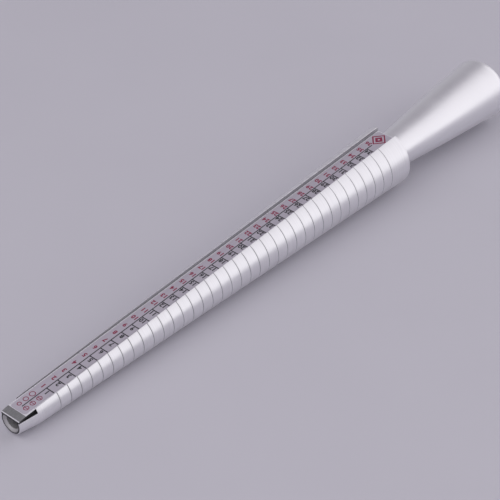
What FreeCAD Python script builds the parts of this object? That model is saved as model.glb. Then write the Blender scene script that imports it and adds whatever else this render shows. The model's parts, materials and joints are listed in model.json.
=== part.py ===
import FreeCAD, Part
import math
import os

# Ring sizer stick: a bored, tapered mandrel with sizing rings, a scale bar and a turned handle.
# Everything is in millimetres. The stick is drawn with its axis along +X, from the tip at
# x = 0 to the butt, and is laid on its side on z = 0 at the end.

# Tapered mandrel
MANDREL_LENGTH = 204.0
TIP_DIAMETER = 11.5        # where the taper would meet the tip face
SHOULDER_DIAMETER = 24.7
NOSE_LENGTH = 9.0          # steeper lead-in, so that a ring slides on easily
NOSE_DIAMETER = 9.4
SHOULDER_CHAMFER = 0.5
BORE_TIP_RADIUS = 3.0      # tapered bore, which breaks into the channel over the front half
BORE_END_RADIUS = 6.5      # where it meets the handle's socket
MOUTH_RADIUS = 3.9         # 45 degree countersink at the tip

# Sizing rings engraved round the taper
RING_COUNT = 36
RING_PITCH = 5.0
FIRST_RING = 18.0
RING_GROOVE_WIDTH = 0.40
RING_GROOVE_DEPTH = 0.22

# Channel milled along the crown of the taper, with all depths square to the crown
CHANNEL_WIDTH = 9.0
CHANNEL_DEPTH = 3.95
LIP_RELIEF_LENGTH = 8.0    # over the nose the body is cut down to the channel's floor

# Bar that fills the channel and carries the scale strip, with an adhesive film between
BAR_START = 0.0
BAR_END = 203.8
BAR_WIDTH = 8.9
BAR_THICKNESS = 1.45
LEAD_IN_LENGTH = 3.3       # its top slopes down towards the tip
LEAD_IN_DROP = 0.43
FILM_THICKNESS = 0.04
FILM_INSET = 0.3
STRIP_START = 3.5
STRIP_END = 203.4
STRIP_WIDTH = 7.5
STRIP_THICKNESS = 0.10
STRIP_CORNER = 1.2

# Turned handle, pressed into the mandrel's socket by its spigot
HANDLE_LENGTH = 64.0
NECK_RADIUS = 7.4
FLARE = [(12.0, 8.4), (30.0, 10.2), (48.0, 11.7)]    # distance from the shoulder, radius
BUTT_RADIUS = 12.6
BUTT_ROUNDING = 3.6
SPIGOT_RADIUS = 7.0
SPIGOT_LENGTH = 20.0
SPIGOT_CHAMFER = 0.8
SOCKET_DEPTH = 21.0

X_AXIS = FreeCAD.Vector(1, 0, 0)
Y_AXIS = FreeCAD.Vector(0, 1, 0)
ORIGIN = FreeCAD.Vector(0, 0, 0)

TIP_RADIUS = TIP_DIAMETER / 2
TAPER = (SHOULDER_DIAMETER - TIP_DIAMETER) / 2 / MANDREL_LENGTH
TAPER_ANGLE = math.degrees(math.atan(TAPER))


def taper_radius(x):
    """Radius of the taper, without the nose and the engraving."""
    return TIP_RADIUS + TAPER * x


def point(x, radius):
    return FreeCAD.Vector(x, 0, radius)


def turned(edges):
    """Solid of revolution about the stick's axis, from edges that close on it."""
    return Part.Face(Part.Wire(edges)).revolve(ORIGIN, X_AXIS, 360)


def polyline(points):
    return [Part.LineSegment(a, b).toShape() for a, b in zip(points, points[1:])]


def crown_box(start, end, left, right, deepest, shallowest):
    """Box set out along the crown of the taper, with depths measured square to it."""
    corner = FreeCAD.Vector(start, left, -deepest)
    box = Part.makeBox(end - start, right - left, deepest - shallowest, corner)
    return on_crown(box)


def on_crown(shape):
    """Tilt a shape drawn along +X with its top at z = 0 so that it follows the crown."""
    shape.rotate(ORIGIN, Y_AXIS, -TAPER_ANGLE)
    shape.translate(FreeCAD.Vector(0, 0, TIP_RADIUS))
    return shape


def mandrel_outline():
    """Half outline of the turned mandrel, with a V groove at every sizing ring."""
    points = [point(0, 0), point(0, NOSE_DIAMETER / 2)]
    points.append(point(NOSE_LENGTH, taper_radius(NOSE_LENGTH)))
    for ring in range(RING_COUNT):
        x = FIRST_RING + ring * RING_PITCH
        before = x - RING_GROOVE_WIDTH / 2
        after = x + RING_GROOVE_WIDTH / 2
        points.append(point(before, taper_radius(before)))
        points.append(point(x, taper_radius(x) - RING_GROOVE_DEPTH))
        points.append(point(after, taper_radius(after)))
    chamfer_start = MANDREL_LENGTH - SHOULDER_CHAMFER
    points.append(point(chamfer_start, taper_radius(chamfer_start)))
    points.append(point(MANDREL_LENGTH, taper_radius(MANDREL_LENGTH) - SHOULDER_CHAMFER))
    points.append(point(MANDREL_LENGTH, 0))
    points.append(points[0])
    return polyline(points)


def bore():
    """Tapered bore from the tip to the handle's socket."""
    overrun = 1.0
    length = MANDREL_LENGTH - SOCKET_DEPTH
    slope = (BORE_END_RADIUS - BORE_TIP_RADIUS) / length
    start_radius = BORE_TIP_RADIUS - slope * overrun
    end_radius = BORE_END_RADIUS + slope * overrun
    start = FreeCAD.Vector(-overrun, 0, 0)
    return Part.makeCone(start_radius, end_radius, length + 2 * overrun, start, X_AXIS)


def mouth():
    """Countersink that opens the bore at the tip."""
    overrun = 1.0
    depth = MOUTH_RADIUS - BORE_TIP_RADIUS
    start = FreeCAD.Vector(-overrun, 0, 0)
    return Part.makeCone(MOUTH_RADIUS + overrun, BORE_TIP_RADIUS, overrun + depth, start, X_AXIS)


def make_mandrel():
    overrun = 5.0
    end = MANDREL_LENGTH + overrun
    side = CHANNEL_WIDTH / 2
    channel = crown_box(-overrun, end, -side, side, CHANNEL_DEPTH, -overrun)
    wide = TIP_DIAMETER
    relief = crown_box(-overrun, LIP_RELIEF_LENGTH, -wide, wide, CHANNEL_DEPTH, -overrun)
    socket_start = FreeCAD.Vector(MANDREL_LENGTH - SOCKET_DEPTH, 0, 0)
    socket = Part.makeCylinder(SPIGOT_RADIUS, SOCKET_DEPTH + overrun, socket_start, X_AXIS)
    body = turned(mandrel_outline())
    for cut in (bore(), mouth(), channel, relief, socket):
        body = body.cut(cut)
    return body


def make_scale_bar():
    """Bar that closes the channel over the bore, with a sloping lead-in at the tip."""
    top = BAR_THICKNESS - CHANNEL_DEPTH
    corners = [
        (BAR_START, -CHANNEL_DEPTH),
        (BAR_END, -CHANNEL_DEPTH),
        (BAR_END, top),
        (BAR_START + LEAD_IN_LENGTH, top),
        (BAR_START, top - LEAD_IN_DROP),
        (BAR_START, -CHANNEL_DEPTH),
    ]
    side = -BAR_WIDTH / 2
    outline = Part.Wire(polyline([FreeCAD.Vector(x, side, z) for x, z in corners]))
    return on_crown(Part.Face(outline).extrude(FreeCAD.Vector(0, BAR_WIDTH, 0)))


def crown_plate(start, end, width, deepest, thickness, corner):
    """Thin plate with rounded corners that follows the crown."""
    low = FreeCAD.Vector(start, -width / 2, -deepest)
    plate = Part.makeBox(end - start, width, thickness, low)
    upright = [edge for edge in plate.Edges if edge.BoundBox.ZLength > thickness / 2]
    return on_crown(plate.makeFillet(corner, upright))


def make_adhesive_film():
    start = STRIP_START + FILM_INSET
    end = STRIP_END - FILM_INSET
    width = STRIP_WIDTH - 2 * FILM_INSET
    underside = CHANNEL_DEPTH - BAR_THICKNESS
    return crown_plate(start, end, width, underside, FILM_THICKNESS, STRIP_CORNER)


def make_scale_strip():
    underside = CHANNEL_DEPTH - BAR_THICKNESS - FILM_THICKNESS
    return crown_plate(STRIP_START, STRIP_END, STRIP_WIDTH, underside, STRIP_THICKNESS, STRIP_CORNER)


def flare_curve(shoulder):
    """Smooth flare of the handle from the neck to the start of the butt rounding."""
    through = [point(shoulder, NECK_RADIUS)]
    through += [point(shoulder + distance, radius) for distance, radius in FLARE]
    through.append(point(shoulder + HANDLE_LENGTH - BUTT_ROUNDING, BUTT_RADIUS))
    curve = Part.BSplineCurve()
    curve.interpolate(through)
    return curve


def make_handle():
    shoulder = MANDREL_LENGTH
    butt = shoulder + HANDLE_LENGTH
    spigot_tip = shoulder - SPIGOT_LENGTH
    spigot = polyline([
        point(spigot_tip, 0),
        point(spigot_tip, SPIGOT_RADIUS - SPIGOT_CHAMFER),
        point(spigot_tip + SPIGOT_CHAMFER, SPIGOT_RADIUS),
        point(shoulder, SPIGOT_RADIUS),
        point(shoulder, NECK_RADIUS),
    ])
    rounding_start = point(butt - BUTT_ROUNDING, BUTT_RADIUS)
    rounding_end = point(butt, BUTT_RADIUS - BUTT_ROUNDING)
    diagonal = BUTT_ROUNDING * math.sqrt(0.5)
    rounding_middle = point(butt - BUTT_ROUNDING + diagonal, BUTT_RADIUS - BUTT_ROUNDING + diagonal)
    rounding = Part.Arc(rounding_start, rounding_middle, rounding_end).toShape()
    back = polyline([rounding_end, point(butt, 0), point(spigot_tip, 0)])
    return turned(spigot + [flare_curve(shoulder).toShape(), rounding] + back)


def lay_down(pieces):
    """Lay the stick on the underside of its taper, centred on the origin along X."""
    for piece in pieces.values():
        piece.rotate(ORIGIN, Y_AXIS, -TAPER_ANGLE)
        piece.translate(FreeCAD.Vector(0, 0, TIP_RADIUS * math.cos(math.radians(TAPER_ANGLE))))
    box = Part.makeCompound(list(pieces.values())).optimalBoundingBox()
    middle = FreeCAD.Vector(-(box.XMin + box.XMax) / 2, 0, 0)
    for piece in pieces.values():
        piece.translate(middle)
    return middle.x


def main():
    pieces = {
        "mandrel": make_mandrel(),
        "scale_bar": make_scale_bar(),
        "scale_strip": make_scale_strip(),
        "adhesive_film": make_adhesive_film(),
        "handle": make_handle(),
    }
    shift = lay_down(pieces)
    os.makedirs("parts", exist_ok=True)
    for name, piece in pieces.items():
        piece.exportStep("parts/" + name + ".step")
        print(name, "valid", piece.isValid(), "solids", len(piece.Solids), "volume", round(piece.Volume, 1))
    print("tip face moved to x", round(shift, 4), "taper angle", round(TAPER_ANGLE, 4))


main()
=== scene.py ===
import json
import math

import bmesh
import bpy
from mathutils import Matrix, Vector


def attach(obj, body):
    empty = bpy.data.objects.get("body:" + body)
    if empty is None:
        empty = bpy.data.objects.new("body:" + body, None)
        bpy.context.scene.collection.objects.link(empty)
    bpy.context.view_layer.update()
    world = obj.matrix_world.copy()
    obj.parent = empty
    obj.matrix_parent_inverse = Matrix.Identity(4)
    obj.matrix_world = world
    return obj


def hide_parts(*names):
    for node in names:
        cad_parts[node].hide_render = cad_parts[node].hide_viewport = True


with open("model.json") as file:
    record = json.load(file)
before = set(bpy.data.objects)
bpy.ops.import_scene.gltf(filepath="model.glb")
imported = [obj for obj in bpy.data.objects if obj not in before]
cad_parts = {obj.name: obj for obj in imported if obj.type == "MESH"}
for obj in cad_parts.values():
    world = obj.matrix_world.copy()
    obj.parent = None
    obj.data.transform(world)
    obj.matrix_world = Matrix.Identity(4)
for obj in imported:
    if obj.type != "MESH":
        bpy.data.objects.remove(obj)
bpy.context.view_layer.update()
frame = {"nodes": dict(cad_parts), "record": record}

# Sizes below are in millimetres in the stick's own frame: x runs along its axis from the tip
# face, z points at the crown. AXIS_FRAME takes such a point to the row frame in metres.
MM = 0.001
MANDREL_LENGTH = 204.0
HANDLE_LENGTH = 64.0
TIP_RADIUS = 5.75
SHOULDER_RADIUS = 12.35
TAPER = (SHOULDER_RADIUS - TIP_RADIUS) / MANDREL_LENGTH
TAPER_ANGLE = math.atan(TAPER)
NOSE_LENGTH = 9.0
NOSE_RADIUS = 4.7
SHOULDER_CHAMFER = 0.5
SOCKET_RADIUS = 7.0
SOCKET_START = MANDREL_LENGTH - 21.0
BORE_TIP_RADIUS = 3.0
BORE_END_RADIUS = 6.5
MOUTH_RADIUS = 3.9          # 45 degree countersink at the tip

RING_COUNT = 36
RING_PITCH = 5.0
FIRST_RING = 18.0
GROOVE_WIDTH = 0.40
GROOVE_DEPTH = 0.22

CHANNEL_HALF = 4.5
CHANNEL_DEPTH = 3.95        # square to the crown, as all depths
LIP_RELIEF_LENGTH = 8.0
LIP_BREAK = 0.12            # broken edge along the channel's two lips

BAR_END = 203.8
BAR_HALF = 4.45
BAR_TOP = CHANNEL_DEPTH - 1.45
LEAD_IN_LENGTH = 3.3
LEAD_IN_DROP = 0.43
BAR_BREAK = 0.12            # broken edges along the bar
BAR_FRONT_BREAK = 0.25      # and across its front
STRIP_START = 3.5
STRIP_END = 203.4
STRIP_HALF = 3.75
STRIP_UNDERSIDE = BAR_TOP - 0.04
STRIP_TOP = STRIP_UNDERSIDE - 0.10
STRIP_CORNER = 1.2
STRIP_BEVEL = 0.03

ARC_STEPS = 64              # steps round each half of the body, below the channel's floor
LIP_STEPS = 8               # steps of the body's arc between the floor's level and a lip
BORE_STEPS = 72             # steps round the bore
TURN_STEPS = 160            # steps round a full turn
MERGE = 1e-4                # points closer than this are one point


def axis_frame():
    """Matrix from the stick's own millimetres to the row frame, from the butt face mount."""
    butt = next(mount for mount in frame["record"]["mounts"] if mount["name"] == "butt_face")
    along = Vector(butt["axis"]).normalized()
    side = Vector((0, 1, 0))
    crown = along.cross(side)
    tip = Vector(butt["pos_m"]) - along * (MANDREL_LENGTH + HANDLE_LENGTH) * MM
    turn = Matrix((along, side, crown)).transposed().to_4x4()
    return Matrix.Translation(tip) @ turn @ Matrix.Scale(MM, 4)


AXIS_FRAME = axis_frame()
# The crown frame follows the top line of the taper: x along it, z = 0 on it.
CROWN_TURN = Matrix.Rotation(-TAPER_ANGLE, 4, "Y")
CROWN_FRAME = AXIS_FRAME @ Matrix.Translation((0, 0, TIP_RADIUS)) @ CROWN_TURN


# ---------------------------------------------------------------- mesh helpers

def add_piece(name, bm, placement, replaced, materials, smooth_angle=30):
    """Turn a bmesh into a piece of the object, with its normals, finish and body."""
    bmesh.ops.remove_doubles(bm, verts=bm.verts, dist=MERGE)
    bmesh.ops.recalc_face_normals(bm, faces=bm.faces)
    mesh = bpy.data.meshes.new(name)
    bm.to_mesh(mesh)
    bm.free()
    mesh.transform(placement)
    mesh.shade_smooth()
    mesh.set_sharp_from_angle(angle=math.radians(smooth_angle))
    for material in materials:
        mesh.materials.append(material)
    piece = bpy.data.objects.new(name, mesh)
    bpy.context.scene.collection.objects.link(piece)
    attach(piece, "root")
    if replaced:
        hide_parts(replaced)
    return piece


def add_loop(bm, points):
    return [bm.verts.new(point) for point in points]


def join_loops(bm, first, second, materials):
    """Quads between two loops with equally many points; a side with no material stays open."""
    count = len(first)
    for i, material in enumerate(materials):
        if material is not None:
            j = (i + 1) % count
            face = bm.faces.new((first[i], first[j], second[j], second[i]))
            face.material_index = material


def close_end(bm, x, material):
    """Flat face over the open edges at x, around the hole in it."""
    edges = [e for e in bm.edges if e.is_boundary and all(abs(v.co.x - x) < 1e-3 for v in e.verts)]
    filled = bmesh.ops.triangle_fill(bm, edges=edges, use_beauty=True)
    for face in filled["geom"]:
        if isinstance(face, bmesh.types.BMFace):
            face.material_index = material


# ---------------------------------------------------------------- mandrel

# Material slots of the body: the turned metal; a darker copy of it as painted shade on the channel; the
# bore's as painted shade in the hollow; and near-black painted shade on the nose relief and the tip's
# face.
TURNED, MILLED_SHADE, BORED_SHADE, SHADE_BLACK = range(4)


def taper_radius(x):
    return TIP_RADIUS + TAPER * x


def below_crown(x, depth):
    """Height over the axis of a plane that lies this far below the crown, square to it."""
    return taper_radius(x) - depth / math.cos(TAPER_ANGLE)


def arc(radius, start, end, steps):
    """Points on a circle about the axis; angles run from the crown towards +y."""
    angles = [start + (end - start) * i / steps for i in range(steps + 1)]
    return [Vector((radius * math.sin(a), radius * math.cos(a))) for a in angles]


def bore_radius(x):
    bored = BORE_TIP_RADIUS + (BORE_END_RADIUS - BORE_TIP_RADIUS) * x / SOCKET_START
    return max(bored, MOUTH_RADIUS - x)


def opening(x):
    """Angle from the crown to where the bore's wall meets the channel's floor, or 0."""
    return math.acos(min(below_crown(x, CHANNEL_DEPTH) / bore_radius(x), 1))


def opening_end():
    """Where the bore, which widens less than the taper, stops breaking into the channel."""
    bore_slope = (BORE_END_RADIUS - BORE_TIP_RADIUS) / SOCKET_START
    return (BORE_TIP_RADIUS - below_crown(0, CHANNEL_DEPTH)) / (TAPER - bore_slope)


def half_section(x, radius, walled):
    """Right half (y > 0) of the body's outline at x, from the bottom up and into the channel."""
    floor = below_crown(x, CHANNEL_DEPTH)
    arc_end = math.acos(floor / radius)
    points = arc(radius, math.pi, arc_end, ARC_STEPS)
    foot = Vector((min(CHANNEL_HALF, points[-1].x), floor))
    if walled:
        lip_side = CHANNEL_HALF + LIP_BREAK
        points += arc(radius, arc_end, math.asin(lip_side / radius), LIP_STEPS)[1:]
        wall_top = math.sqrt(radius * radius - CHANNEL_HALF * CHANNEL_HALF)
        points.append(Vector((CHANNEL_HALF, wall_top - LIP_BREAK)))
    else:
        points += [points[-1].lerp(foot, i / LIP_STEPS) for i in range(1, LIP_STEPS + 1)]
        points.append(foot.copy())
    points.append(foot)
    points.append(Vector((bore_radius(x) * math.sin(opening(x)), floor)))
    return points


def section(x, radius, walled):
    """Whole outline at x, as points in the stick's frame, starting at the bottom."""
    half = half_section(x, radius, walled)
    mirrored = [Vector((-point.x, point.y)) for point in reversed(half[1:])]
    return [Vector((x, point.x, point.y)) for point in half + mirrored]


def section_materials(walled):
    """Material of each side of the outline; the bore's opening in the middle has none."""
    # With walls, the channel's wall and floor get the darker painted-shade copy of the aluminium; at the
    # nose, without walls, the relief and the floor get the near-black painted shade.
    lip = [TURNED if walled else SHADE_BLACK] * (LIP_STEPS + 1)
    channel = [MILLED_SHADE if walled else SHADE_BLACK] * 2
    half = [TURNED] * ARC_STEPS + lip + channel
    return half + [None] + half[::-1]


def bore_line(x):
    """The bore's wall at x, from one side of its opening round the bottom to the other."""
    start = opening(x)
    points = arc(bore_radius(x), start, 2 * math.pi - start, BORE_STEPS)
    return [Vector((x, point.x, point.y)) for point in points]


def mandrel_stations():
    """(x, radius, walled, groove shade) along the mandrel, from the tip to the shoulder; groove shade is
    1 at a groove's bottom, for the painted shade there.
    """
    rounding = 0.25
    nose_slope = (taper_radius(NOSE_LENGTH) - NOSE_RADIUS) / NOSE_LENGTH
    stations = [(0.0, NOSE_RADIUS - rounding, False, 0)]
    for step in (1, 2, 3):
        turn = math.radians(30 * step)
        x = rounding * (1 - math.cos(turn))
        stations.append((x, NOSE_RADIUS + nose_slope * x - rounding * (1 - math.sin(turn)), False, 0))
    for x in (0.5, MOUTH_RADIUS - BORE_TIP_RADIUS, 1.5, 3.0, 4.5, 6.0, 7.0, LIP_RELIEF_LENGTH):
        stations.append((x, NOSE_RADIUS + nose_slope * x, False, 0))
    stations.append((LIP_RELIEF_LENGTH, NOSE_RADIUS + nose_slope * LIP_RELIEF_LENGTH, True, 0))
    stations.append((NOSE_LENGTH, taper_radius(NOSE_LENGTH), True, 0))
    stations.append((FIRST_RING - RING_PITCH / 2, taper_radius(FIRST_RING - RING_PITCH / 2), True, 0))
    half = GROOVE_WIDTH / 2
    for ring in range(RING_COUNT):
        x = FIRST_RING + ring * RING_PITCH
        stations.append((x - half, taper_radius(x - half), True, 0))
        # The last value marks the groove's bottom for the painted shade.
        stations.append((x, taper_radius(x) - GROOVE_DEPTH, True, 1))
        stations.append((x + half, taper_radius(x + half), True, 0))
        stations.append((x + RING_PITCH / 2, taper_radius(x + RING_PITCH / 2), True, 0))
    chamfer_start = MANDREL_LENGTH - SHOULDER_CHAMFER
    stations.append((chamfer_start, taper_radius(chamfer_start), True, 0))
    stations.append((MANDREL_LENGTH, taper_radius(MANDREL_LENGTH) - SHOULDER_CHAMFER, True, 0))
    stations.append((opening_end(), taper_radius(opening_end()), True, 0))
    return sorted(stations, key=lambda station: station[0])


def circle_loop(x, radius):
    points = arc(radius, 0, 2 * math.pi, TURN_STEPS)[:-1]
    return [Vector((x, point.x, point.y)) for point in points]


def make_mandrel(materials):
    bm = bmesh.new()
    # Per-point mask for the painted shade at the bottom of the rings' grooves.
    groove_shade = bm.verts.layers.float.new("groove_shade")
    stations = mandrel_stations()
    loops = []
    for x, radius, walled, depth in stations:
        loop = add_loop(bm, section(x, radius, walled))
        for vert in loop:
            vert[groove_shade] = depth
        loops.append(loop)
    for station, first, second in zip(stations, loops, loops[1:]):
        join_loops(bm, first, second, section_materials(station[2]))
    bored = [x for x, radius, walled, depth in stations if x < SOCKET_START] + [SOCKET_START]
    bore = [add_loop(bm, bore_line(x)) for x in bored]
    for first, second in zip(bore, bore[1:]):
        join_loops(bm, first, second, [BORED_SHADE] * BORE_STEPS)
    socket = [add_loop(bm, circle_loop(x, SOCKET_RADIUS)) for x in (SOCKET_START, MANDREL_LENGTH)]
    join_loops(bm, *socket, [BORED_SHADE] * TURN_STEPS)
    bmesh.ops.remove_doubles(bm, verts=bm.verts, dist=MERGE)
    # The tip's end face gets the near-black painted shade.
    close_end(bm, 0, SHADE_BLACK)
    close_end(bm, SOCKET_START, BORED_SHADE)
    close_end(bm, MANDREL_LENGTH, TURNED)
    return add_piece("mandrel_body", bm, AXIS_FRAME, "mandrel", materials)


# ---------------------------------------------------------------- handle

NECK_RADIUS = 7.4
FLARE = [(0.0, NECK_RADIUS), (12.0, 8.4), (30.0, 10.2), (48.0, 11.7), (60.4, 12.6)]
BUTT_ROUNDING = 3.6
SPIGOT_RADIUS = 7.0
SPIGOT_LENGTH = 20.0
SPIGOT_CHAMFER = 0.8


def flare_slopes():
    """Slope of the flare at each of its points, from the parabola through three neighbours."""
    steps = [(b[1] - a[1]) / (b[0] - a[0]) for a, b in zip(FLARE, FLARE[1:])]
    spans = [b[0] - a[0] for a, b in zip(FLARE, FLARE[1:])]
    middle = []
    for i in range(1, len(steps)):
        weight = spans[i] / (spans[i - 1] + spans[i])
        middle.append(weight * steps[i - 1] + (1 - weight) * steps[i])
    return [2 * steps[0] - middle[0]] + middle + [2 * steps[-1] - middle[-1]]


def flare_points(steps_each):
    """Smooth flare from the neck to the butt rounding, as (distance from shoulder, radius)."""
    slopes = flare_slopes()
    points = []
    for i in range(len(FLARE) - 1):
        (x0, r0), (x1, r1) = FLARE[i], FLARE[i + 1]
        span = x1 - x0
        for step in range(steps_each):
            t = step / steps_each
            radius = (2 * t**3 - 3 * t**2 + 1) * r0 + (3 * t**2 - 2 * t**3) * r1
            radius += (t**3 - 2 * t**2 + t) * span * slopes[i] + (t**3 - t**2) * span * slopes[i + 1]
            points.append((x0 + span * t, radius))
    return points + [FLARE[-1]]


def handle_profile():
    """(distance from shoulder, radius) of the handle, from the spigot's end to the butt."""
    points = [(-SPIGOT_LENGTH, SPIGOT_RADIUS - SPIGOT_CHAMFER)]
    points.append((-SPIGOT_LENGTH + SPIGOT_CHAMFER, SPIGOT_RADIUS))
    points.append((0.0, SPIGOT_RADIUS))
    points += flare_points(10)
    butt_radius = FLARE[-1][1]
    rounding_steps = 12
    for step in range(1, rounding_steps + 1):
        turn = math.radians(90 * step / rounding_steps)
        x = HANDLE_LENGTH - BUTT_ROUNDING * (1 - math.sin(turn))
        points.append((x, butt_radius - BUTT_ROUNDING * (1 - math.cos(turn))))
    points.append((HANDLE_LENGTH, butt_radius - BUTT_ROUNDING - 1.0))
    return points


def make_handle(material):
    bm = bmesh.new()
    loops = [add_loop(bm, circle_loop(MANDREL_LENGTH + x, radius)) for x, radius in handle_profile()]
    for first, second in zip(loops, loops[1:]):
        join_loops(bm, first, second, [0] * TURN_STEPS)
    bm.faces.new(loops[0])
    bm.faces.new(loops[-1])
    return add_piece("handle_body", bm, AXIS_FRAME, "handle", [material])


# ---------------------------------------------------------------- bar, strip and print

LINE_START = 5.8
LINE_END = 194.8
LINE_WIDTH = 0.4
TICK_COUNT = 34
TICK_PITCH = 5.28
FIRST_TICK = 17.45
TICK_WIDTH = 0.45
DIGIT_HEIGHT = 2.05
DIGIT_ADVANCE = 1.4
ROW_MIDDLE = 1.75           # distance of each row of numbers from the middle line
FAR_COUNT = 36
FAR_PITCH = 5.06
FIRST_FAR_NUMBER = 17.6
NUMBER_BEFORE_TICK = 1.4
RING_MARKS = (6.1, 9.2, 12.4)
FAR_MARK_RADII = (0.9, 1.1, 1.25)
NEAR_MARK_RADIUS = 1.1
MARK_LINE = 0.3
RING_CORNERS = 24
DIAMOND_MIDDLE = (199.2, 0.1)
DIAMONDS = ((3.8, 3.5, 0.8), (2.1, 1.9, 1.4))    # half length, half width and line of each
INK_SUNK = 0.01
INK_THICKNESS = 0.02


def rounded_outline(start, end, half_width, corner, z):
    """Rectangle with rounded corners in the crown frame."""
    corner_steps = 8
    centres = (
        (end - corner, half_width - corner, 0),
        (start + corner, half_width - corner, 90),
        (start + corner, corner - half_width, 180),
        (end - corner, corner - half_width, 270),
    )
    points = []
    for x, y, first in centres:
        for step in range(corner_steps + 1):
            turn = math.radians(first + 90 * step / corner_steps)
            points.append(Vector((x + corner * math.cos(turn), y + corner * math.sin(turn), z)))
    return points


def crown_plate(start, end, half_width, corner, bevel, underside, top):
    """Plate with rounded corners and bevelled top edges, as a bmesh in the crown frame."""
    bm = bmesh.new()
    loops = []
    for inset, depth in ((0, underside), (0, top + bevel), (bevel, top)):
        outline = rounded_outline(start + inset, end - inset, half_width - inset, corner - inset, -depth)
        loops.append(add_loop(bm, outline))
    for first, second in zip(loops, loops[1:]):
        join_loops(bm, first, second, [0] * len(first))
    bm.faces.new(loops[0])
    bm.faces.new(loops[-1])
    return bm


def bar_section(x, top):
    """Outline of the bar at x in the crown frame, with its top this far below the crown."""
    inner = BAR_HALF - BAR_BREAK
    right = [(BAR_HALF, -CHANNEL_DEPTH), (BAR_HALF, -top - BAR_BREAK), (inner, -top)]
    left = [(-y, z) for y, z in reversed(right)]
    return [Vector((x, y, z)) for y, z in right + left]


def make_bar(materials):
    """Bar with a sloping lead-in; its materials are the sides' (near-black painted shade), the lead-in's
    (the bar's own dark metal) and the top's (pale painted highlight, also across the front edge).
    """
    side, lead_in, rail_highlight = range(3)
    slope = LEAD_IN_DROP / LEAD_IN_LENGTH
    lowest = BAR_TOP + LEAD_IN_DROP
    stations = [
        (0, lowest + BAR_FRONT_BREAK, rail_highlight),
        (BAR_FRONT_BREAK, lowest - slope * BAR_FRONT_BREAK, lead_in),
        (LEAD_IN_LENGTH, BAR_TOP, rail_highlight),
        (BAR_END, BAR_TOP, rail_highlight),
    ]
    bm = bmesh.new()
    loops = [add_loop(bm, bar_section(x, top)) for x, top, finish in stations]
    for (x, top, finish), first, second in zip(stations, loops, loops[1:]):
        join_loops(bm, first, second, [side, finish, finish, finish, side, side])
    bm.faces.new(loops[0])
    bm.faces.new(loops[-1])
    return add_piece("bar_body", bm, CROWN_FRAME, "scale_bar", materials, 5)


def make_strip(material):
    """Printed plate that lies on the bar, on the adhesive film."""
    size = (STRIP_START, STRIP_END, STRIP_HALF, STRIP_CORNER)
    bm = crown_plate(*size, STRIP_BEVEL, STRIP_UNDERSIDE, STRIP_TOP)
    return add_piece("strip_plate", bm, CROWN_FRAME, "scale_strip", [material])


def ink_prism(bm, outline):
    """Thin printed area with this closed outline of (x, y) points, on top of the strip."""
    bottom = add_loop(bm, [Vector((x, y, -STRIP_TOP - INK_SUNK)) for x, y in outline])
    top = add_loop(bm, [Vector((x, y, -STRIP_TOP + INK_THICKNESS)) for x, y in outline])
    join_loops(bm, bottom, top, [0] * len(outline))
    bm.faces.new(bottom)
    bm.faces.new(top)


def ink_bar(bm, x0, x1, y0, y1):
    ink_prism(bm, [(x0, y0), (x1, y0), (x1, y1), (x0, y1)])


def ink_outline(bm, x, y, half_length, half_width, line, corners):
    """Printed outline of a polygon with this many corners: a diamond, or a ring."""
    def corner(i, inset):
        turn = 2 * math.pi * i / corners
        return (x + (half_length - inset) * math.cos(turn), y + (half_width - inset) * math.sin(turn))

    for i in range(corners):
        ink_prism(bm, [corner(i, 0), corner(i + 1, 0), corner(i + 1, line), corner(i, line)])


def digit_meshes():
    """One flat mesh for each digit, as high as DIGIT_HEIGHT and centred on its own middle."""
    meshes = {}
    for digit in "0123456789":
        curve = bpy.data.curves.new("digit_" + digit, "FONT")
        curve.body = digit
        curve.resolution_u = 3
        curve.extrude = 0.5
        curve.offset = 0.04
        text = bpy.data.objects.new("digit_" + digit, curve)
        bpy.context.scene.collection.objects.link(text)
        bpy.context.view_layer.update()
        evaluated = text.evaluated_get(bpy.context.evaluated_depsgraph_get())
        mesh = bpy.data.meshes.new_from_object(evaluated)
        bpy.data.objects.remove(text)
        bpy.data.curves.remove(curve)
        low = Vector([min(v.co[i] for v in mesh.vertices) for i in range(3)])
        high = Vector([max(v.co[i] for v in mesh.vertices) for i in range(3)])
        size = DIGIT_HEIGHT / (high.y - low.y)
        thickness = INK_SUNK + INK_THICKNESS
        mesh.transform(Matrix.Translation(-(low + high) / 2))
        mesh.transform(Matrix.Diagonal((size, size, thickness, 1)))
        meshes[digit] = mesh
    return meshes


def ink_number(bm, meshes, number, x, y):
    """A number that reads across the strip, with its top towards the tip."""
    digits = str(number)
    middle_height = -STRIP_TOP + (INK_THICKNESS - INK_SUNK) / 2
    across = Matrix(((0, -1, 0), (1, 0, 0), (0, 0, 1))).to_4x4()
    for i, digit in enumerate(digits):
        shift = (i - (len(digits) - 1) / 2) * DIGIT_ADVANCE
        before = len(bm.verts)
        bm.from_mesh(meshes[digit])
        bm.verts.ensure_lookup_table()
        place = Matrix.Translation((x, y + shift, middle_height)) @ across
        bmesh.ops.transform(bm, matrix=place, verts=bm.verts[before:])


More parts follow.
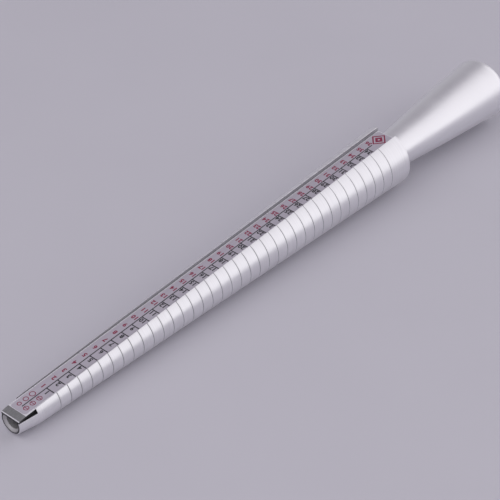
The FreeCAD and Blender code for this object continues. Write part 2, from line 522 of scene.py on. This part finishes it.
def make_print(black, red):
    """The printed scale: middle line, ticks, two rows of numbers and the end marks."""
    lines = bmesh.new()
    ink_bar(lines, LINE_START, LINE_END, -LINE_WIDTH / 2, LINE_WIDTH / 2)
    for tick in range(TICK_COUNT):
        x = FIRST_TICK + tick * TICK_PITCH
        ink_bar(lines, x - TICK_WIDTH / 2, x + TICK_WIDTH / 2, -STRIP_HALF + STRIP_BEVEL, -LINE_WIDTH / 2)
    add_piece("scale_lines", lines, CROWN_FRAME, None, [black])

    meshes = digit_meshes()
    near = bmesh.new()
    for tick in range(TICK_COUNT):
        x = FIRST_TICK + tick * TICK_PITCH - NUMBER_BEFORE_TICK
        ink_number(near, meshes, tick + 1, x, -ROW_MIDDLE)
    add_piece("near_numbers", near, CROWN_FRAME, None, [black])
    far = bmesh.new()
    for i in range(FAR_COUNT):
        ink_number(far, meshes, i + 1, FIRST_FAR_NUMBER + i * FAR_PITCH, ROW_MIDDLE)
    add_piece("far_numbers", far, CROWN_FRAME, None, [red])
    for mesh in meshes.values():
        bpy.data.meshes.remove(mesh)
    make_end_marks(red)


def make_end_marks(red):
    """Plain signs: rings at the tip end, one row with a diameter line, and a diamond."""
    marks = bmesh.new()
    for x, radius in zip(RING_MARKS, FAR_MARK_RADII):
        ink_outline(marks, x, ROW_MIDDLE, radius, radius, MARK_LINE, RING_CORNERS)
        ink_outline(marks, x, -ROW_MIDDLE, NEAR_MARK_RADIUS, NEAR_MARK_RADIUS, MARK_LINE, RING_CORNERS)
        reach = NEAR_MARK_RADIUS - 0.1
        half = MARK_LINE / 2
        ink_bar(marks, x - half, x + half, -ROW_MIDDLE - reach, -ROW_MIDDLE + reach)
    for half_length, half_width, line in DIAMONDS:
        ink_outline(marks, *DIAMOND_MIDDLE, half_length, half_width, line, 4)
    add_piece("end_marks", marks, CROWN_FRAME, None, [red])


# ---------------------------------------------------------------- materials

def new_material(name):
    """An empty node material with its Principled shader, as (material, nodes, links, shader)."""
    material = bpy.data.materials.new(name)
    material.use_nodes = True
    nodes = material.node_tree.nodes
    return material, nodes, material.node_tree.links, nodes["Principled BSDF"]


def noise(nodes, links, size, detail=3.0):
    """Noise in the stick's directions; size is its grain along, across and up, in mm."""
    coordinates = nodes.new("ShaderNodeTexCoord")
    mapping = nodes.new("ShaderNodeMapping")
    mapping.inputs["Rotation"].default_value = (0, TAPER_ANGLE, 0)
    mapping.inputs["Scale"].default_value = [1 / (MM * grain) for grain in size]
    links.new(coordinates.outputs["Object"], mapping.inputs["Vector"])
    texture = nodes.new("ShaderNodeTexNoise")
    texture.inputs["Scale"].default_value = 1.0
    texture.inputs["Detail"].default_value = detail
    links.new(mapping.outputs["Vector"], texture.inputs["Vector"])
    return texture.outputs["Fac"]


def spread(nodes, links, factor, low, high):
    """Map the middle of a noise to the range from low to high."""
    spreader = nodes.new("ShaderNodeMapRange")
    spreader.inputs["From Min"].default_value = 0.3
    spreader.inputs["From Max"].default_value = 0.7
    spreader.inputs["To Min"].default_value = low
    spreader.inputs["To Max"].default_value = high
    links.new(factor, spreader.inputs["Value"])
    return spreader.outputs["Result"]


def colour_mix(nodes, links, factor, first, second):
    """Mix of two colours; either may be a colour or another node's output."""
    mix = nodes.new("ShaderNodeMix")
    mix.data_type = "RGBA"
    links.new(factor, mix.inputs["Factor"])
    for socket, colour in ((mix.inputs[6], first), (mix.inputs[7], second)):
        if isinstance(colour, bpy.types.NodeSocket):
            links.new(colour, socket)
        else:
            socket.default_value = (*colour, 1)
    return mix.outputs[2]


def add_bump(nodes, links, shader, height, strength, depth):
    bump = nodes.new("ShaderNodeBump")
    bump.inputs["Strength"].default_value = strength
    bump.inputs["Distance"].default_value = depth * MM
    links.new(height, bump.inputs["Height"])
    links.new(bump.outputs["Normal"], shader.inputs["Normal"])


def turned_metal(name, colour, shade, roughness, grain, bump):
    """Lathe-turned aluminium: fine lines round the axis and a few faint handling smudges."""
    material, nodes, links, shader = new_material(name)
    shader.inputs["Metallic"].default_value = 1.0
    lines = noise(nodes, links, (grain, 60 * grain, 60 * grain), 4.0)
    smudges = noise(nodes, links, (14, 9, 9), 2.0)
    tinted = colour_mix(nodes, links, spread(nodes, links, lines, 0, 1), shade, colour)
    links.new(tinted, shader.inputs["Base Color"])
    rough = nodes.new("ShaderNodeMath")
    rough.operation = "ADD"
    links.new(spread(nodes, links, lines, roughness - 0.05, roughness + 0.05), rough.inputs[0])
    links.new(spread(nodes, links, smudges, -0.025, 0.035), rough.inputs[1])
    links.new(rough.outputs[0], shader.inputs["Roughness"])
    add_bump(nodes, links, shader, lines, bump, 0.02)
    return material


def darken_engraving(material):
    """Painted shade: a darker colour at the bottom of the rings' grooves, where shade falls."""
    nodes = material.node_tree.nodes
    links = material.node_tree.links
    shader = nodes["Principled BSDF"]
    groove_shade = nodes.new("ShaderNodeAttribute")
    groove_shade.attribute_name = "groove_shade"
    tinted = shader.inputs["Base Color"].links[0].from_socket
    # Painted shade colour for the grooves' bottoms.
    darkened = colour_mix(nodes, links, groove_shade.outputs["Fac"], tinted, (0.25, 0.25, 0.26))
    links.new(darkened, shader.inputs["Base Color"])
    return material


def milled_metal(name, dark, light, rough, metallic):
    """Milled aluminium with cutter lines across it; its darker colours are painted shade, its pale ones a
    painted highlight.
    """
    material, nodes, links, shader = new_material(name)
    shader.inputs["Metallic"].default_value = metallic
    lines = noise(nodes, links, (0.35, 30, 30), 3.0)
    tinted = colour_mix(nodes, links, spread(nodes, links, lines, 0, 1), dark, light)
    links.new(tinted, shader.inputs["Base Color"])
    links.new(spread(nodes, links, lines, rough - 0.05, rough + 0.05), shader.inputs["Roughness"])
    add_bump(nodes, links, shader, lines, 0.2, 0.03)
    return material


def dark_metal(name, dark, light):
    """Dark metal with a fine drawn grain along it; its near-black copy is painted shade."""
    material, nodes, links, shader = new_material(name)
    shader.inputs["Metallic"].default_value = 0.75
    grain = noise(nodes, links, (9, 0.3, 0.3), 4.0)
    tinted = colour_mix(nodes, links, spread(nodes, links, grain, 0, 1), dark, light)
    links.new(tinted, shader.inputs["Base Color"])
    links.new(spread(nodes, links, grain, 0.34, 0.46), shader.inputs["Roughness"])
    add_bump(nodes, links, shader, grain, 0.15, 0.01)
    return material


def bored_metal():
    """Rough inside of the hollow, its colour darker than the turned outside as painted shade."""
    material, nodes, links, shader = new_material("bored_aluminium_shade")
    shader.inputs["Metallic"].default_value = 0.5
    grain = noise(nodes, links, (0.8, 6, 6), 4.0)
    dark, light = (0.36, 0.35, 0.36), (0.54, 0.53, 0.54)
    tinted = colour_mix(nodes, links, spread(nodes, links, grain, 0, 1), dark, light)
    links.new(tinted, shader.inputs["Base Color"])
    links.new(spread(nodes, links, grain, 0.4, 0.6), shader.inputs["Roughness"])
    add_bump(nodes, links, shader, grain, 0.3, 0.05)
    return material


def printed_plate():
    """Matt silver-grey plate with a rolled grain along it."""
    material, nodes, links, shader = new_material("printed_plate")
    shader.inputs["Metallic"].default_value = 0.55
    grain = noise(nodes, links, (12, 0.25, 2), 4.0)
    clouds = noise(nodes, links, (18, 6, 6), 2.0)
    dark, light = (0.50, 0.465, 0.53), (0.58, 0.54, 0.61)
    rolled = colour_mix(nodes, links, spread(nodes, links, grain, 0, 1), dark, light)
    worn = spread(nodes, links, clouds, 0, 0.35)
    faded = colour_mix(nodes, links, worn, rolled, (0.60, 0.58, 0.62))
    links.new(faded, shader.inputs["Base Color"])
    links.new(spread(nodes, links, grain, 0.42, 0.56), shader.inputs["Roughness"])
    add_bump(nodes, links, shader, grain, 0.12, 0.01)
    return material


def ink(name, thick, thin):
    """Printing ink that thins out a little here and there."""
    material, nodes, links, shader = new_material(name)
    patches = noise(nodes, links, (0.5, 0.5, 0.5), 3.0)
    tinted = colour_mix(nodes, links, spread(nodes, links, patches, 0, 1), thick, thin)
    links.new(tinted, shader.inputs["Base Color"])
    links.new(spread(nodes, links, patches, 0.4, 0.55), shader.inputs["Roughness"])
    add_bump(nodes, links, shader, patches, 0.1, 0.01)
    return material


def adhesive():
    material, nodes, links, shader = new_material("adhesive")
    grain = noise(nodes, links, (0.6, 0.6, 0.6), 2.0)
    tinted = colour_mix(nodes, links, grain, (0.03, 0.03, 0.032), (0.06, 0.06, 0.062))
    links.new(tinted, shader.inputs["Base Color"])
    links.new(spread(nodes, links, grain, 0.6, 0.75), shader.inputs["Roughness"])
    return material


def floor_paper():
    """Smooth pale paper with a barely visible mottle."""
    material, nodes, links, shader = new_material("floor_paper")
    mottle = noise(nodes, links, (60, 60, 60), 3.0)
    clouded = spread(nodes, links, mottle, 0, 1)
    tinted = colour_mix(nodes, links, clouded, FLOOR_COLOUR, FLOOR_SHADE)
    links.new(tinted, shader.inputs["Base Color"])
    fibre = noise(nodes, links, (0.4, 0.4, 0.4), 2.0)
    links.new(spread(nodes, links, fibre, 0.75, 0.85), shader.inputs["Roughness"])
    shader.inputs["Specular IOR Level"].default_value = 0.2
    return material


# ---------------------------------------------------------------- floor, light and camera

FLOOR_COLOUR = (0.560, 0.548, 0.596)
FLOOR_SHADE = (0.550, 0.538, 0.586)
HORIZON_COLOUR = (0.50, 0.49, 0.53)
CEILING_COLOUR = (0.350, 0.335, 0.378)
LIGHT_COLOUR = (1.0, 0.985, 1.0)
STAGE_HALF = 2.5            # metres


def make_floor(material):
    bm = bmesh.new()
    bmesh.ops.create_grid(bm, x_segments=20, y_segments=20, size=STAGE_HALF)
    mesh = bpy.data.meshes.new("floor")
    bm.to_mesh(mesh)
    bm.free()
    mesh.materials.append(material)
    floor = bpy.data.objects.new("floor", mesh)
    bpy.context.scene.collection.objects.link(floor)


def make_world():
    """Pale surroundings that are brightest at the horizon and fade towards the ceiling."""
    world = bpy.data.worlds.new("studio")
    world.use_nodes = True
    nodes = world.node_tree.nodes
    links = world.node_tree.links
    coordinates = nodes.new("ShaderNodeTexCoord")
    split = nodes.new("ShaderNodeSeparateXYZ")
    links.new(coordinates.outputs["Generated"], split.inputs["Vector"])
    rise = nodes.new("ShaderNodeMapRange")
    rise.inputs["From Min"].default_value = 0.05
    rise.inputs["From Max"].default_value = 0.55
    rise.interpolation_type = "SMOOTHSTEP"
    links.new(split.outputs["Z"], rise.inputs["Value"])
    sky = colour_mix(nodes, links, rise.outputs["Result"], HORIZON_COLOUR, CEILING_COLOUR)
    links.new(sky, nodes["Background"].inputs["Color"])
    bpy.context.scene.world = world


def direction(azimuth, elevation):
    """Unit vector towards a place seen at this azimuth (0 is +X, 90 is +Y) and elevation."""
    a = math.radians(azimuth)
    e = math.radians(elevation)
    return Vector((math.cos(a) * math.cos(e), math.sin(a) * math.cos(e), math.sin(e)))


def softbox(name, azimuth, elevation, distance, width, height, radiance):
    """Rectangular light that faces the stick; its radiance doesn't depend on its size."""
    light = bpy.data.lights.new(name, "AREA")
    light.shape = "RECTANGLE"
    light.size = width
    light.size_y = height
    light.energy = radiance * math.pi * width * height
    light.color = LIGHT_COLOUR
    box = bpy.data.objects.new(name, light)
    box.location = direction(azimuth, elevation) * distance
    box.rotation_euler = direction(azimuth, elevation).to_track_quat("Z", "Y").to_euler()
    bpy.context.scene.collection.objects.link(box)


def make_lights():
    """A panel that the metal reflects, a key that throws the shadow, and a weak fill."""
    softbox("side_panel", -36, 30, 1.0, 1.95, 1.28, 0.635)
    softbox("back_key", 160, 55, 1.5, 2.0, 1.5, 1.0)
    softbox("near_fill", -125, 28, 1.6, 1.8, 1.0, 0.55)


CAMERA_AIM = Vector((-0.0108, 0.0005, 0.0101))
CAMERA_AZIMUTH = -47.5
CAMERA_ELEVATION = 37.1
CAMERA_ROLL = -0.63
CAMERA_DISTANCE = 0.7915
CAMERA_LENS = 151.2


def make_camera():
    """Camera at the viewing angle; azimuth 0 looks along +Y and 90 along -X."""
    camera = bpy.data.cameras.new("camera")
    camera.lens = CAMERA_LENS
    camera.sensor_width = 36.0
    camera.clip_start = 0.01
    a = math.radians(CAMERA_AZIMUTH)
    e = math.radians(CAMERA_ELEVATION)
    back = Vector((math.sin(a) * math.cos(e), -math.cos(a) * math.cos(e), math.sin(e)))
    holder = bpy.data.objects.new("camera", camera)
    holder.location = CAMERA_AIM + back * CAMERA_DISTANCE
    roll = Matrix.Rotation(math.radians(CAMERA_ROLL), 4, "Z")
    turn = back.to_track_quat("Z", "Y").to_matrix().to_4x4() @ roll
    holder.rotation_euler = turn.to_euler()
    bpy.context.scene.collection.objects.link(holder)
    bpy.context.scene.camera = holder


# ---------------------------------------------------------------- the scene

bright = (0.90, 0.895, 0.91)
turned = turned_metal("turned_aluminium", bright, (0.84, 0.835, 0.85), 0.37, 0.35, 0.16)
satin = turned_metal("satin_aluminium", bright, (0.88, 0.875, 0.89), 0.38, 0.2, 0.02)
# Darker copy of the body's aluminium: painted shade on the channel's walls and floor.
milled_shade = milled_metal("milled_aluminium_shade", (0.38, 0.375, 0.39), (0.46, 0.455, 0.47), 0.36, 1.0)
# Pale, less metallic copy of the bar's dark aluminium: painted highlight on the bar's top margins and its
# front edge.
rail_highlight = milled_metal("rail_highlight_aluminium", (0.72, 0.71, 0.75), (0.82, 0.81, 0.85), 0.30, 0.3)
dark = dark_metal("dark_aluminium", (0.22, 0.22, 0.225), (0.30, 0.30, 0.305))
# Near-black: painted shade on the bar's sides, the relief at the nose and the tip's end face.
shade_black = dark_metal("shade_black_aluminium", (0.035, 0.035, 0.037), (0.06, 0.06, 0.062))
black_ink = ink("black_ink", (0.012, 0.012, 0.014), (0.03, 0.03, 0.034))
red_ink = ink("red_ink", (0.20, 0.008, 0.045), (0.28, 0.03, 0.08))

# The grooves, the channel, the hollow, the nose relief and the tip's face get painted shade.
make_mandrel([darken_engraving(turned), milled_shade, bored_metal(), shade_black])
make_handle(satin)
make_bar([shade_black, dark, rail_highlight])
make_strip(printed_plate())
make_print(black_ink, red_ink)
frame["nodes"]["adhesive_film"].data.materials.clear()
frame["nodes"]["adhesive_film"].data.materials.append(adhesive())

make_floor(floor_paper())
make_world()
make_lights()
make_camera()
bpy.context.scene.view_settings.view_transform = "Standard"
